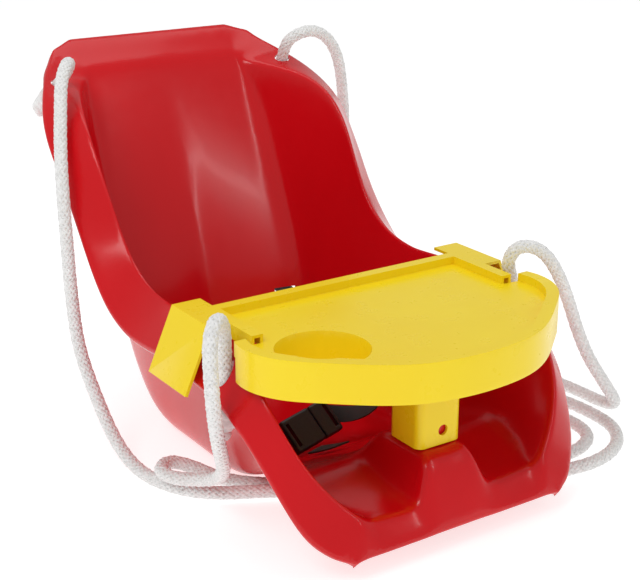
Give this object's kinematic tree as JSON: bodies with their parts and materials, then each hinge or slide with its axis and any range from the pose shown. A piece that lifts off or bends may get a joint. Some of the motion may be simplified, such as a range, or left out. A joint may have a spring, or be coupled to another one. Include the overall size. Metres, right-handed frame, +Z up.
{
  "type": "toddler bucket swing seat",
  "caption": "High-backed toddler swing seat with leg troughs, a lift-up tray on a crotch post, a lap harness with buckle and two ropes.",
  "frame": {"origin": "on the floor, midway between the tray's front and the top edge of the back, on the plane of symmetry of the seat", "axes": "+Z up, the child faces -Y, +X to the left hand of the seated child"},
  "size_m": [0.6522, 0.8458, 0.394],
  "materials": {
    "red_plastic": "gloss",
    "yellow_plastic": "gloss",
    "rope": "matte",
    "webbing": "matte",
    "black_plastic": "satin"
  },
  "bodies": {
    "seat": {"seat_shell": "red_plastic", "saddle_stub": "red_plastic", "rope_left": "rope", "rope_right": "rope", "knot_back_right": "rope", "knot_back_left": "rope", "knot_front_right": "rope", "knot_front_left": "rope", "webbing_left": "webbing", "webbing_right": "webbing", "webbing_tail": "webbing", "web_stop_right": "black_plastic", "web_stop_left": "black_plastic", "buckle_socket": "black_plastic", "buckle_plug": "black_plastic"},
    "tray_unit": {"tray": "yellow_plastic", "tray_post": "yellow_plastic"},
    "prong_front": {"buckle_prong_front": "black_plastic"},
    "prong_rear": {"buckle_prong_rear": "black_plastic"}
  },
  "joints": [
    {"name": "tray_lift", "type": "slide", "parent": "seat", "child": "tray_unit", "axis": [0, 0, 1], "range_m": [0, 0.12]},
    {"name": "squeeze_front", "type": "hinge", "parent": "seat", "child": "prong_front", "pos_m": [-0.0053, -0.05899, 0.02501], "axis": [0, -0.7071, 0.7071], "range_deg": [-7, 0], "stiffness_Nm_per_rad": 0.3},
    {"name": "squeeze_rear", "type": "hinge", "parent": "seat", "child": "prong_rear", "pos_m": [-0.0107, -0.04101, 0.04299], "axis": [0, -0.7071, 0.7071], "range_deg": [0, 7], "stiffness_Nm_per_rad": 0.3}
  ]
}
